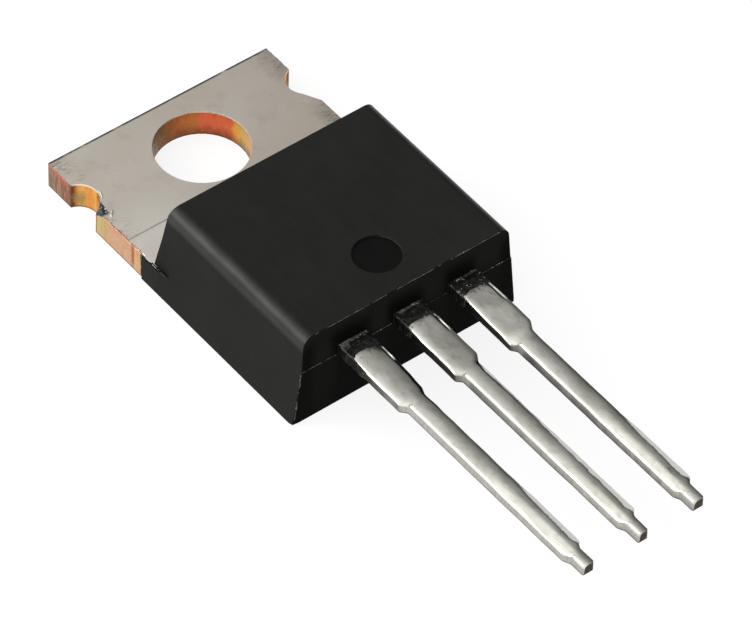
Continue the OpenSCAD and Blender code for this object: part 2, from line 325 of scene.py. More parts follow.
copper = {
    # colours along y on the sides, and by degrees round the hole and the notch; round the hole they are copper
    # tints with painted light and shade, lighter on the walls that face the lamp and darker on those facing away
    "side": [(-4.0, (196, 160, 108)), (-3.0, (200, 168, 104)), (-2.72, (214, 178, 112)), (-2.64, (206, 122, 66)),
             (-2.6, (96, 44, 24)), (-2.55, (176, 104, 70)), (-2.42, (206, 160, 124)), (-1.2, (208, 160, 130)),
             (-0.85, (198, 166, 112)), (-0.55, (192, 182, 112)), (-0.2, (196, 190, 132)), (1.4, (104, 62, 44)),
             (1.55, (158, 106, 90)), (2.3, (166, 122, 106)), (2.6, (150, 122, 98)), (2.8, (118, 116, 84))],
    "hole": [(-180, (88, 57, 34)), (-90, (205, 150, 96)), (-20, (216, 172, 116)), (4, (206, 166, 84)),
             (12, (222, 144, 62)), (17, (206, 100, 64)), (50, (206, 96, 68)), (62, (176, 104, 54)),
             (85, (150, 84, 46)), (103, (108, 72, 38)), (120, (82, 52, 28)), (138, (56, 36, 22)),
             (165, (70, 46, 28)), (180, (88, 57, 34))],
    "notch": [(-90, (140, 84, 50)), (-40, (196, 130, 66)), (-25, (228, 172, 84)), (5, (234, 176, 92)),
              (20, (226, 146, 74)), (38, (222, 168, 92)), (54, (214, 152, 84)), (66, (96, 52, 30)),
              (90, (140, 90, 60))],
    "dark": (58, 42, 32),
    "streak": (168, 116, 80),
    "pale": (222, 192, 156),
    "lilac": (206, 176, 168),
    "red": (214, 116, 98),
    "endStreak": (92, 66, 50),
    "endGreen": (116, 118, 84),
    "notchStreak": (176, 98, 52),
    "notchGreen": (138, 132, 84),
    "notchRim": (250, 222, 186),
    "holeLow": (92, 54, 30),
    "holeFine": (222, 158, 84),
    "holeRim": (246, 214, 178),
    "edgeTint": (246, 234, 224),
    "roughness": 0.30,
    "notchPlace": (5.38, 0.55),
    "notchReach": 0.9,
    "holeReach": 2.0,
}


# Sheared copper: colours in patches along the cut, streaks across the thickness, dark at the lower edge
def makeCopper():
    s = Surface("sheared_copper", copper)
    drift = s.noise(0.35, 3.0, (1, 1, 1.6), shift=5.0)
    streaks = s.noise(0.10, 4.0, (1, 1, 7))
    fine = s.noise(0.028, 3.0, (1, 1, 12))
    lumps = s.noise(0.16, 3.0, (1, 1, 0.8), shift=2.0)
    edgeless = s.y.between(2.70, 2.76)
    along = (s.y + edgeless * (s.x * 0.1 + 2.05 - s.y)) + drift.swing(0.5) * (1 - s.y.near(-2.6, 0.25))
    s.colour = s.bands(along, copper["side"])
    tabEnd = s.y.between(1.2, 1.5) * (1 - edgeless * 0.55)
    s.lay(tabEnd * streaks.between(0.47, 0.58) * 0.7, "endStreak")
    s.lay(tabEnd * lumps.between(0.5, 0.62) * s.z.between(0.75, 0.3) * 0.75, "endGreen")
    s.lay(streaks.between(0.5, 0.75) * 0.4, "streak")
    s.lay((1 - tabEnd) * lumps.between(0.5, 0.7) * 0.5, "pale")
    s.lay((1 - tabEnd) * drift.between(0.5, 0.38) * 0.4, "lilac")
    red = (s.z + lumps.swing(1.2) + streaks.swing(0.9)).between(0.95, 1.2) * (0.12 + tabEnd * 0.58)
    s.lay(red, "red")

    degrees = 180 / math.pi
    notchX, notchY = copper["notchPlace"]
    across = notchX - s.x.size()
    turned = (s.y - notchY).calculate("ARCTAN2", across) * degrees
    notch = s.bands(turned + drift.swing(24), copper["notch"])
    green = (turned + lumps.swing(60)).near(50, 26) * (s.z + drift.swing(0.7)).near(0.48, 0.45)
    notch = s.mix(green.between(0.05, 0.5) * 0.65, notch, "notchGreen")
    notch = s.mix(streaks.between(0.5, 0.7) * 0.4, notch, "notchStreak")
    reach = (across * across + (s.y - notchY) * (s.y - notchY)).root()
    s.lay(reach.between(copper["notchReach"], copper["notchReach"] - 0.04), notch)

    # Round the hole the colours follow which way the wall faces: copper tints with painted light and shade
    turned = s.y.calculate("ARCTAN2", s.x) * degrees
    hole = s.bands(turned + drift.swing(16), copper["hole"])
    low = (s.z + drift.swing(0.7)).between(0.55, 0.1)
    hole = s.mix(low * 0.75, hole, "holeLow")
    hole = s.mix(fine.between(0.55, 0.75) * 0.25, hole, "holeFine")
    hole = s.mix(s.z.between(1.14, 1.2) * turned.between(110, 60), hole, "holeRim")
    s.lay(s.away(0, 0).between(copper["holeReach"], copper["holeReach"] - 0.05), hole)
    rim = s.z.between(1.12, 1.19) * reach.between(copper["notchReach"], copper["notchReach"] - 0.04)
    s.lay(rim * (across - 0.2).between(0.0, 0.1), "notchRim")

    s.lay(s.z.between(0.10, 0.02) * 0.85, "dark")
    rough = copper["roughness"] + streaks.swing(0.3) + lumps.swing(0.2)
    return s.finish(rough, streaks * 14 + fine * 5 + lumps * 12,
                    {"Metallic": 1.0, "Specular Tint": copper["edgeTint"]})


tin = {
    "colour": (236, 235, 225),
    "cloud": (210, 208, 197),
    "cut": (186, 184, 176),
    "worn": (150, 146, 136),
    # black laid for painted shade and dirt, and white laid as a painted sheen
    "dirtAndShade": (15, 14, 12),
    "paintedSheen": (255, 255, 250),
    "roughness": 0.17,
    "cutLine": (2.93, 2.97),  # the sheared sides are below, the rolled top above
}


# Bright tin on the leads: rolled smooth on top, sheared and duller on the sides. The mesh stores a darkening,
# mostly painted shade and reflection with some dirt, from -1 for a painted white sheen to 1 for black
def makeTin():
    s = Surface("bright_tin", tin)
    broad = s.noise(0.7, 3.0, (1, 1.8, 1))
    blots = s.noise(0.3, 3.0, (1, 1.4, 1), shift=3.0)
    fine = s.noise(0.06, 3.0, (1, 9, 1))
    shear = s.noise(0.07, 3.0, (1, 1, 5), shift=4.0)
    specks = s.noise(0.09, 2.0, shift=8.0)
    dirtAndShade = s.stored("dirtAndShade")
    paintedSheen = dirtAndShade.between(0.0, -1.0)
    dirtAndShade = dirtAndShade.largest(0.0)
    side = s.z.between(tin["cutLine"][1], tin["cutLine"][0])
    s.lay(broad.between(0.38, 0.62) * 0.9, "cloud")
    s.lay(blots.between(0.54, 0.7) * 0.28, "worn")
    s.lay(specks.between(0.72, 0.78) * 0.8, "worn")
    s.lay(side, s.mix(shear.between(0.4, 0.7) * 0.6, "cut", "worn"))
    # Painted sheen: the burrs are made white where they would reflect the pale floor
    s.lay(paintedSheen, "paintedSheen")
    # Painted shade, with some dirt, from the stored darkening
    s.lay(dirtAndShade, "dirtAndShade")
    rough = tin["roughness"] + fine.swing(0.10) + broad.swing(0.10) + side * 0.22 + dirtAndShade * 0.2 + paintedSheen * 0.3
    return s.finish(rough, broad * 7 + blots * 2.5 + fine * 1.2 + side * shear * 8,
                    {"Metallic": 1.0 - paintedSheen * 0.95})


# The cut ends of the leads: dark copper alloy, torn by the shear
def makeCutEnd():
    s = Surface("cut_end", {"colour": (30, 23, 16)})
    shear = s.noise(0.05, 3.0, (1, 1, 3))
    s.lay(shear.between(0.35, 0.7), (66, 55, 43))
    return s.finish(0.4 + shear.swing(0.2), shear * 8, {"Metallic": 0.9})


epoxy = {
    "moulded_epoxy": {"colour": (27, 27, 25), "lighter": (32, 32, 29), "specular": 0.08, "gloss": 1.0},
    # the lead face: a darker copy of the epoxy, as painted shade
    "moulded_epoxy_front_shaded": {"colour": (21, 21, 19), "lighter": (25, 25, 23), "specular": 0.012, "gloss": 0.0},
    # the ejector pin's disc, and the painted shade round the leads
    "mark": (9, 9, 8),
    "upperLight": (32, 32, 29),
    "roughness": 0.6,
    "glossRoughness": 0.40,
    "glossIndex": 1.49,
    "top": 4.33,
    "markPlace": (0.0, -10.62),
    "markRadius": 0.96,
    "halfPitch": 1.27,  # from a lead to the middle of the gap beside it
}


# Moulded epoxy: glossier round its top side edges than on the flat top, with a dull smooth disc where the
# ejector pin pressed. The lead face is duller still and made darker as painted shade, with painted light above
# the parting ledge and painted shade round the leads
def makeEpoxy(name):
    own = epoxy[name]
    s = Surface(name, {**epoxy, **own})
    broad = s.noise(2.2)
    grain = s.noise(0.04, 2.0)
    pores = s.noise(0.12, shift=6.0)
    disc = s.away(*epoxy["markPlace"]).between(epoxy["markRadius"], epoxy["markRadius"] - 0.03)
    disc = disc * s.z.between(epoxy["top"] - 0.2, epoxy["top"] - 0.15)
    s.lay(broad.between(0.3, 0.7), "lighter")
    s.lay(pores.between(0.6, 0.8) * 0.3, "lighter")
    s.lay(disc, "mark")
    # Painted shade round the leads on the lead face
    leadShade = s.x.calculate("PINGPONG", epoxy["halfPitch"]) + broad.swing(0.8)
    leadShade = leadShade.between(1.0, 0.6) * s.z.between(4.1, 3.5)
    # Painted light: the lead face is paler above the parting ledge
    upperLight = s.z.between(2.72, 2.8) * (1 - leadShade * 0.8) * (1 - own["gloss"])
    s.lay(upperLight, "upperLight")
    s.lay(leadShade * (1 - own["gloss"]) * 0.7, "mark")
    uneven = s.noise(0.5, 3.0, (1, 2.5, 1), shift=2.0)
    gloss = s.z.between(3.6, 4.1) * (1 - s.z.between(4.28, 4.33) * 0.7) * (1 - disc * 0.9) * own["gloss"]
    gloss = gloss * (0.65 + 0.35 * uneven.between(0.3, 0.7)) * (0.86 + 0.14 * s.y.between(-9.0, -5.0))
    return s.finish(epoxy["roughness"] + grain.swing(0.2), (grain * 4 + pores * 5) * (1 - disc * 0.7),
                    {"Specular IOR Level": own["specular"], "Coat Weight": gloss,
                     "Coat Roughness": epoxy["glossRoughness"], "Coat IOR": epoxy["glossIndex"]})


resin = {
    "colour": (20, 20, 18),
    "light": (42, 42, 38),
    "crust": (104, 104, 98),
    "glint": (206, 206, 198),
    "sunk": (14, 14, 12),
    "roughness": 0.42,
    "specular": 0.25,
}


# Resin flash: rough and dusty, paler along its crust, with painted glints as pale specks. The mesh stores crust,
# from -0.5 for dark without glints, painted shade on the drain's and source's left sides and dark resin at the
# tab's corners, to 1.2 for the palest
def makeFlash():
    s = Surface("resin_flash", resin)
    lumps = s.noise(0.16)
    glints = s.cells(0.075) - s.x.between(1.0, 2.0) * 0.07
    fine = s.noise(0.03, 2.0, shift=2.0)
    patches = s.noise(0.22, 2.0, shift=5.0)
    crust = s.stored("crust")
    s.lay(lumps.between(0.4, 0.65), "light")
    s.lay((crust + patches.swing(0.8)).between(0.35, 0.9), "crust")
    # Painted glints: pale specks near scattered points
    pale = glints.between(0.34, 0.2) * (patches + crust * 0.16).between(0.56, 0.66)
    s.lay(pale * s.x.between(-7.0, 1.0), "glint")
    # Painted shade, and darker resin on the strings at the tab's sides
    s.lay(crust.between(0.0, -0.5), "sunk")
    return s.finish(resin["roughness"] + fine.swing(0.3), lumps * 14 + fine * 4 + pale * 10,
                    {"Specular IOR Level": resin["specular"]})


# The chip's metal top: a fine grain of two greys
def makeSilicon():
    s = Surface("chip_metal", {"colour": (120, 124, 134)})
    grain = s.noise(0.02, 2.0)
    s.lay(grain, (150, 154, 162))
    return s.finish(0.3 + grain.swing(0.2), grain, {"Metallic": 1.0})


# Plain metal, up to a quarter darker where the grain is strongest
def makeDullMetal(name, colour, roughness):
    s = Surface(name, {"colour": colour})
    grain = s.noise(0.05)
    s.lay(grain * 0.25, (0, 0, 0))
    return s.finish(roughness + grain.swing(0.2), grain * 2, {"Metallic": 1.0})


finishes = {
    "plating": makePlating(),
    "copper": makeCopper(),
    "torn": makeTorn(),
    "tin": makeTin(),
    "cutEnd": makeCutEnd(),
    "epoxy": makeEpoxy("moulded_epoxy"),
    "epoxyFrontShaded": makeEpoxy("moulded_epoxy_front_shaded"),
    "flash": makeFlash(),
    "silicon": makeSilicon(),
    "solder": makeDullMetal("die_solder", (150, 150, 154), 0.45),
    "wire": makeDullMetal("drawn_aluminium", (222, 223, 226), 0.25),
}
print("finishes made")


# Puts a mesh into the scene as a piece that rides with the part and stands for a CAD node
def addPiece(name, mesh, materials, node):
    item = addObject(name, mesh)
    for material in materials:
        mesh.materials.append(material)
    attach(item, "root")
    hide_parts(node)
    return item


# Value noise from -1 to 1: seeded heights on a lattice of the given size, blended with smooth steps
def grit(points, size, seed):
    side = 32
    table = np.random.default_rng(seed).uniform(-1, 1, (side, side, side))
    scaled = points / size
    base = np.floor(scaled).astype(int)
    part = scaled - base
    part = part * part * (3 - 2 * part)
    total = np.zeros(points.shape[:-1])
    for corner in np.ndindex(2, 2, 2):
        weight = np.prod(np.where(corner, part, 1 - part), axis=-1)
        cell = (base + corner) % side
        total += weight * table[cell[..., 0], cell[..., 1], cell[..., 2]]
    return total


# Smooth step from 0 to 1 as t runs from 0 to 1
def ease(t):
    t = np.clip(t, 0, 1)
    return t * t * (3 - 2 * t)


# Bell of height 1 and the given half-width
def bell(t, reach):
    return np.exp(-(t / reach) ** 2)


# Points from their coordinates, which are spread over each other
def grid(x, y, z):
    return np.stack(np.broadcast_arrays(x, y, z), axis=-1)


# Writes the work into a mesh, with its faces outwards
def settle(work, mesh):
    bmesh.ops.recalc_face_normals(work, faces=work.faces)
    work.to_mesh(mesh)
    work.free()
    return mesh


# Grids of points in millimetres, ring after ring, each joined by quads and closed at both ends by one face.
# The last ring's cap is shaded flat and takes the cap's material. Numbers for the points are stored by name
def meshFromRings(name, *grids, stored=None, values=None, capMaterial=0):
    points, faces, index, start = [], [], [], 0
    for rings in grids:
        count, around = rings.shape[:2]
        number = start + np.arange(count * around).reshape(count, around)
        following = np.roll(number, -1, axis=1)
        quads = np.stack([number[:-1], number[1:], following[1:], following[:-1]], axis=-1).reshape(-1, 4)
        points.append(rings.reshape(-1, 3))
        faces += quads.tolist() + [number[0].tolist(), number[-1][::-1].tolist()]
        index += [0] * (len(quads) + 1) + [1]
        start += count * around
    mesh = bpy.data.meshes.new(name)
    mesh.from_pydata((np.concatenate(points) * mm).tolist(), [], faces)
    mesh.polygons.foreach_set("use_smooth", np.array(index) == 0)
    mesh.polygons.foreach_set("material_index", np.array(index) * capMaterial)
    work = bmesh.new()
    work.from_mesh(mesh)
    settle(work, mesh)
    if stored:
        layer = mesh.attributes.new(stored, "FLOAT", "POINT")
        layer.data.foreach_set("value", np.concatenate([v.ravel() for v in values]))
    return mesh


lead = {
    "pitch": 2.54,
    "top": 3.115,  # the highest line of the crown
    "underside": 2.61,
    "end": -26.08,
    "spacing": 0.034,  # between rings
    "strip": (0.085, 1.25),  # width of the strip that rolls down at the left edge, and its slope at the edge
    "rolls": ((0.12, 0.01), (0.2, 0.015)),  # width and drop of the strips that roll over at the narrow edges
    "corner": 0.015,
    "heel": 0.02,  # rounding of the bottom edges
    "waves": ((0.7, 0.010), (0.5, 0.014)),  # length and height of the waves in the left and right edges
    "burr": (0.27, 0.12, 0.10),  # width, drop and outward reach of the burr's bevel at full size
    "flare": 0.035,  # by which the narrow part's left side leans out at its foot
    "shoulders": (-16.33, -25.42),  # painted shade in the creases at the left edge
    "lip": 0.024,  # height of the raised lip, and depth of the crease inside it
    "crease": 0.035,
    "curveAt": (-15.6, -16.5, -20.0, -23.0, -24.4, -25.2, -25.6),  # stations of every lead's curve
    "slack": 0.36,  # greatest curve of the crown to the right of the ridge
    "bumps": ((0.5, 0.005), (0.16, 0.0014)),  # size and height of the ripples on top
    "post": (-11.84, 1.15, 0.2),  # end, half-width and outward shift of the bond post
    "tipRound": 0.07,
    "starts": {-1: -10.54, 0: -11.7, 1: -10.54},  # by side, inside the moulding
    "heelTone": 90,
    "sideTone": 150,
}

# Each list gives a value at stations along y, with smooth steps between them: the half-widths to the left and
# right of the centre line, the place of the ridge, the size of the burr, the strength of the dark line along the
# right edge, painted shade in its crease and partly oxide, and the painted shade of the left side face, darker
# where it would reflect the moulding and shadows. The curve of the crown has its values at curveAt. The rolls
# are the width and drop of the strips along both edges of the wide part, and the blot is x, y, half-width,
# half-length and strength
leadShapes = {
    "gate": {
        "side": -1, "seed": 3, "lip": (-13.45, -14.35), "rolls": ((0.3, 0.02), (0.55, 0.03)),
        "left": [(-16, 0.635), (-16.35, 0.375), (-21, 0.375), (-23.5, 0.355), (-25.03, 0.355), (-25.45, 0.205)],
        "right": [(-14.2, 0.655), (-15, 0.61), (-15.8, 0.545), (-16.3, 0.41), (-24.95, 0.415), (-25.35, 0.245)],
        "ridge": [(-16, 0.0), (-16.5, 0.08), (-19.5, 0.08), (-23, 0.11), (-24.4, 0.09), (-25.2, 0.09),
                  (-25.6, 0.06)],
        "curve": (0.142, 0.325, 0.36, 0.85, 1.3, 1.3, 0.9),
        "burr": [(-20, 0.05), (-21.5, 0.2), (-22.6, 0.8), (-24.8, 1.0), (-25.2, 0.1)],
        "edgeShade": [(-13.3, 0.3), (-14.3, 1.0), (-16.8, 1.0), (-17.4, 0.35), (-19, 0.2), (-21, 0.3), (-22.5, 0.4),
                 (-25, 0.4), (-25.3, 0.2)],
        "tone": [(-13.2, 60), (-14.2, 84), (-14.6, 130), (-15.9, 150), (-16.15, 205), (-16.6, 186), (-25, 180),
                 (-25.5, 190)],
        "blot": (0.14, -24.5, 0.1, 0.35, 0.25),
    },
    "drain": {
        "side": 0, "seed": 5, "lip": (-13.35, -14.4), "rolls": ((0.35, 0.05), (0.3, 0.03)),
        "left": [(-16.05, 0.62), (-16.35, 0.375), (-21, 0.375), (-23.5, 0.355), (-25.03, 0.355), (-25.42, 0.205)],
        "right": [(-15.7, 0.64), (-16.25, 0.395), (-24.9, 0.395), (-25.35, 0.2)],
        "ridge": [(-16, 0.0), (-16.5, 0.08), (-19.5, 0.08), (-23, 0.08), (-24.4, 0.04), (-25.2, 0.04),
                  (-25.6, 0.02)],
        "curve": (0.048, 0.3, 0.33, 0.66, 1.3, 1.3, 0.9),
        "burr": [(-16.1, 0), (-16.6, 0.5), (-19, 0.3), (-21, 0.7), (-23, 0.9), (-24.8, 1.05), (-25.2, 0.1)],
        "edgeShade": [(-13.3, 0.1), (-15.9, 0.2), (-16.2, 1.0), (-17.6, 0.7), (-19.5, 0.3), (-24.6, 0.35), (-25.3, 0.3)],
        "tone": [(-13.2, 38), (-16, 56), (-16.15, 140), (-16.45, 150), (-16.8, 118), (-19, 142), (-21, 152),
                 (-25, 165)],
        "blot": (0.08, -24.7, 0.08, 0.4, 0.25),
    },
    "source": {
        "side": 1, "seed": 9, "lip": (-13.2, -14.45), "rolls": ((0.25, 0.02), (0.2, 0.03)),
        "left": [(-16.05, 0.6), (-16.38, 0.375), (-21, 0.375), (-23.5, 0.355), (-25.08, 0.355), (-25.45, 0.215)],
        "right": [(-14.5, 0.7), (-15.6, 0.685), (-16.2, 0.43), (-25, 0.43), (-25.35, 0.24)],
        "ridge": [(-13.9, 0.0), (-14.9, 0.45), (-15.7, 0.45), (-16.5, 0.08), (-19.5, 0.08), (-23, 0.08),
                  (-24.4, 0.05), (-25.2, 0.05), (-25.6, 0.06)],
        "curve": (0.083, 0.325, 0.33, 0.8, 1.3, 1.3, 0.9),
        "burr": [(-21, 0), (-22.4, 0.85), (-24.8, 1.0), (-25.2, 0.1)],
        "edgeShade": [(-13.3, 0.2), (-15.8, 0.2), (-17, 0.3), (-19.5, 0.3), (-22, 0.35), (-25, 0.4), (-25.3, 0.3)],
        "tone": [(-13.2, 34), (-16, 48), (-16.2, 120), (-16.45, 130), (-16.8, 92), (-19, 112), (-23, 135),
                 (-25, 150)],
        "blot": (0.06, -24.35, 0.11, 0.4, 0.6),
    },
}


# Value at y from its stations, with a smooth step between each pair
def stations(y, pairs):
    total = np.full_like(y, pairs[0][1])
    for (start, low), (finish, high) in zip(pairs, pairs[1:]):
        total = total + (high - low) * ease((start - y) / (start - finish))
    return total


# Darkening that gives a face the shade: how far the shade's linear value is from the bare tin's towards black
def darkeningFor(tone):
    bare, black = 0.41, 0.005
    value = (np.clip(tone, 10, 180) / 255) ** 2.2
    return np.clip(1 - (value - black) / (bare - black), 0, 1)


# A lead is a section carried along its path. The top is a parabola about the ridge, less the squares of the
# strips along both edges, with a raised lip and a groove inside it near the moulding, and slow ripples. At the
# left a narrow strip rolls on down to a steep slope. The right corner is a quarter round that grows into a
# straight bevel where the burr is. Also gives the darkening of each point, from -1 to 1: mostly painted shade
# and reflection with some dirt, and below 0 a painted white sheen
def leadRings(shape):
    side, seed = shape["side"], shape["seed"]
    start, end, tipRound = lead["starts"][side], lead["end"], lead["tipRound"]
    y = np.linspace(start, end, int((start - end) / lead["spacing"]))[:, None]
    slow = np.concatenate([y * 0, y, y * 0], axis=1) + seed * 7.3

    def wave(size, number):
        return grit(slow, size, seed + number)[:, None]

    left, right, ridge, burr, edgeShade, tone = (
        stations(y, shape[k]) for k in ("left", "right", "ridge", "burr", "edgeShade", "tone"))
    curve = stations(y, list(zip(lead["curveAt"], shape["curve"])))
    narrow = ease((shape["left"][0][0] - y) / 0.35)
    if side:
        postEnd, postHalf, postShift = lead["post"]
        post = 1 - ease((postEnd - y) / 0.05)
        left = left + (postHalf - side * postShift - left) * post
        right = right + (postHalf + side * postShift - right) * post
    (leftLong, leftHigh), (rightLong, rightHigh) = lead["waves"]
    burrFull, burrFall, burrReach = lead["burr"]
    close = 1 - np.sqrt(1 - np.clip((end + tipRound - y) / tipRound, 0, 0.98) ** 2)
    left = left + leftHigh * wave(leftLong, 0) - tipRound * 0.7 * close
    right = right + rightHigh * wave(rightLong, 1) + burrReach * burr - tipRound * 0.7 * close
    ragged = wave(0.25, 2) + 0.5 * wave(0.09, 5)
    burrWidth = lead["corner"] + (burrFull + 0.03 * ragged) * burr
    burrDrop = lead["corner"] + burrFall * burr
    lipFrom, lipTo = shape["lip"]
    lip = ease((lipFrom + 0.1 - y) / 0.25) * (1 - ease((lipTo + 0.3 - y) / 0.3))
    (leftWide, leftDrop), (rightWide, rightDrop) = (
        [wide + (thin - wide) * narrow for wide, thin in zip(*pair)] for pair in zip(shape["rolls"], lead["rolls"]))
    curl = 0.022 * wave(0.55, 9)
    crease = right - 0.105 + curl + 0.012 * ragged
    flat = 0.8 - 0.55 * ease((-20.5 - y) / 3.5)

    def topAt(x):
        spot = grid(x, y, 0)
        away = np.abs(x - ridge)
        bend = np.where(x < ridge, curve, np.minimum(curve, lead["slack"]))
        height = lead["top"] - bend * np.where(away < flat, away ** 2, flat * (2 * away - flat))
        height = height - leftDrop * np.clip((leftWide - left - x) / leftWide, 0, 1) ** 2
        height = height - rightDrop * np.clip((x - right + rightWide) / rightWide, 0, 1) ** 2
        height = height + lip * lead["lip"] * bell(x - right + 0.025 - curl, 0.028)
        height = height - lip * lead["crease"] * bell(x - crease, 0.036)
        for k, (size, high) in enumerate(lead["bumps"]):
            height = height + high * grit(spot + seed, size, seed + 3 + k)
        return height - tipRound * 0.6 * close

    turn = np.linspace(0, math.pi / 2, 9)[None, :]
    rise = np.linspace(0, 1, 7)[None, 1:-1]
    step = np.linspace(0, 1, 9)[None, 1:]
    spread = 1 - (1 - np.linspace(0, 1, 50)) ** 1.7
    heel, bottom = lead["heel"], lead["underside"] + tipRound * 0.5 * close
    stripWide, stripSlope = lead["strip"]
    innerRight, innerLeft = right - burrWidth, stripWide - left
    topRight, topLeft = topAt(innerRight), topAt(innerLeft)
    firstSlope = (topAt(innerLeft + 0.01) - topLeft) / 0.01
    edge = topLeft - stripWide * (firstSlope + stripSlope) / 2
    lineWide = 0.085 - 0.055 * narrow
    lineRight = right - burrWidth - 0.05 + 0.025 * narrow + (0.022 - 0.008 * narrow) * ragged
    flare = lead["flare"] * narrow
    # Painted shade in the concave corners where the left edge turns at the shoulders
    creaseShade = sum(bell(y - place, 0.055) for place in lead["shoulders"]) * 0.6

    x, z, dark = [], [], []

    def add(across, upward, dirtAndShade):
        across, upward, dirtAndShade = np.broadcast_arrays(across, upward, dirtAndShade)
        x.append(across)
        z.append(upward)
        dark.append(dirtAndShade)

    # the right heel and side, the burr, the top, the strip, the left side and heel, and the underside
    sideDarkening = darkeningFor(0 * y + lead["sideTone"])
    add(right - heel + heel * np.sin(turn), bottom + heel - heel * np.cos(turn), darkeningFor(0 * y + lead["heelTone"]))
    add(right + 0 * rise, bottom + heel + (topRight - burrDrop - bottom - heel) * rise, sideDarkening)
    squareness = 1 + burr
    bevel = np.cos(turn) ** squareness
    inner = bell(bevel * burrWidth / 0.03, 1)
    # The burr's bevel: painted shade at its inner edge, and a painted white sheen over the rest
    add(innerRight + burrWidth * bevel, topRight - burrDrop + burrDrop * np.sin(turn) ** squareness,
        edgeShade * inner * 0.8 - np.clip(burr * 2, 0, 1) * (1 - inner))
    top = (innerRight - (innerRight - innerLeft) * (1 - spread[None, ::-1]))[:, 1:-1]
    spot = grid(top, y, 0)
    root = ease((y + 13.75) / 0.5) * ease((grit(spot + seed, 0.11, seed + 7) - 0.25) / 0.3) * 0.55
    # Painted shade in the crease along the right edge, partly oxide, and in the crease inside the lip
    line = np.maximum(edgeShade * (1 - lip) * bell(top - lineRight, lineWide), lip * bell(top - crease + 0.012, 0.052))
    shadow = 0.28 * ease((top - right + 0.45) / 0.45) * (0.4 + 0.6 * narrow) * (1 - 0.7 * np.clip(burr, 0, 1))
    blotX, blotY, blotWide, blotLong, blotDark = shape["blot"]
    blot = bell(top - blotX, blotWide) * bell(y - blotY, blotLong) * blotDark
    blot = blot * (0.6 + 0.6 * grit(spot, 0.07, seed + 8))
    # Painted shade at the shoulders' corners
    corner = creaseShade * ease((0.12 - left - top) / 0.08)
    add(top, topAt(top), np.clip(line + root + shadow + blot + corner, 0, 1))
    add(innerLeft - stripWide * step, topLeft - firstSlope * stripWide * step
        - (stripSlope - firstSlope) * stripWide * step ** 2 / 2, creaseShade + 0 * step)
    # Painted shade and reflection on the left side face: darker where it would reflect the moulding and shadows, and
    # lighter towards its top in the narrow part
    add(-left - flare * rise, edge - (edge - bottom - heel) * rise,
        darkeningFor(tone + 14 * wave(0.3, 6) - 22 + 44 * (1 - rise) * narrow))
    foot = left + flare
    add(-foot + heel - heel * np.cos(turn), bottom + heel - heel * np.sin(turn), darkeningFor(tone * 0.45))
    add(-foot + heel + (foot + right - 2 * heel) * rise, bottom + 0 * rise, sideDarkening)
    x, z, dark = (np.concatenate(a, axis=1) for a in (x, z, dark))
    return grid(x + side * lead["pitch"], y, z), dark


def leadMesh(name):
    rings, dark = leadRings(leadShapes[name])
    return meshFromRings(name + "_lead", rings, stored="dirtAndShade", values=[dark], capMaterial=1)


tinned = [finishes["tin"], finishes["cutEnd"]]
for name in ("gate", "source"):
    addPiece(name + "_lead_tinned", leadMesh(name), tinned, name + "_lead")
print("side leads made")


bead = {
    "around": 10,  # points in a ring
    "lumps": 0.12,  # size of the noise
    "level": 0.55,  # share of the thickness before the noise; at less, only the noise's peaks show
    "probe": 0.05,  # distance from the path at which the noise is read
    "taper": 4,  # rings in which an end closes
}


# A ragged bead along a path: rings whose radius is thick times noise that may almost vanish
def beadRings(path, thick, seed, size=bead["lumps"], level=bead["level"]):
    along = np.gradient(path, axis=0)
    along /= np.linalg.norm(along, axis=1)[:, None]
    first = np.cross(along, (0.3, 0.2, 0.93))
    first /= np.linalg.norm(first, axis=1)[:, None]
    second = np.cross(along, first)
    u = np.linspace(0, 2 * math.pi, bead["around"], endpoint=False)[None, :, None]
    spoke = np.cos(u) * first[:, None] + np.sin(u) * second[:, None]
    spot = path[:, None] + spoke * bead["probe"] + seed
    rough = level + 0.5 * grit(spot, size, seed) + 0.25 * grit(spot, size / 3, seed + 1)
    number = np.arange(len(path))
    ends = np.sqrt(np.clip(np.minimum(number, number[::-1]) / bead["taper"], 0.05, 1))
    radius = thick * np.clip(rough, 0.1, 1.3) * ends[:, None]
    return path[:, None] + spoke * radius[..., None]


# A ragged bead along a straight path with a slow wander
def straightBead(start, finish, count, thick, seed, sway, level=bead["level"]):
    t = np.linspace(0, 1, count)[:, None]
    path = np.array(start) * (1 - t) + np.array(finish) * t
    sideways = np.stack([grit(path + k * 5.1, 0.4, seed + k) for k in range(3)], axis=-1)
    return beadRings(path + sway * sideways, thick, seed, level=level)


tab = {
    "cutBehind": -11.8,  # the drain lead's own shell takes over here, inside the moulding
    "roundAfter": -3.9,  # edges beyond this y are rounded
    "bevel": 0.012,
    "segments": 2,
    "torn": ((4.5, 5.3), (-1.1, 0.4), (0.4, 0.85)),  # |x|, y and upward slope of the torn corners' faces
    "tornSpace": ((4.5, 5.3), (-1.1, 0.1), (0.8, 1.205)),  # |x|, y and z of the points that move
    "tornDepth": 0.05,
    "tornStep": 0.08,  # longer edges of the torn faces are divided
    "grooveSpace": ((-1, 5.1), (-2.30, -2.20), (1.15, 2)),  # |x|, y and z of the groove's walls
    "steep": 0.4,  # upward slope below which a face is a sheared side
}


# Whether each row of three lies between the low and high bounds, with the first taken without its sign
def inside(rows, spans):
    low, high = np.array(spans).T
    rows = np.abs(rows * (1, 0, 0)) + rows * (0, 1, 1)
    return ((rows > low) & (rows < high)).all(axis=-1)


# A copy of a CAD node's mesh with its triangles merged into flat faces
def mergedCopy(node):
    work = bmesh.new()
    work.from_mesh(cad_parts[node].data)
    bmesh.ops.remove_doubles(work, verts=work.verts, dist=0.0005 * mm)
    bmesh.ops.dissolve_limit(work, angle_limit=math.radians(0.5), verts=work.verts, edges=work.edges)
    return work


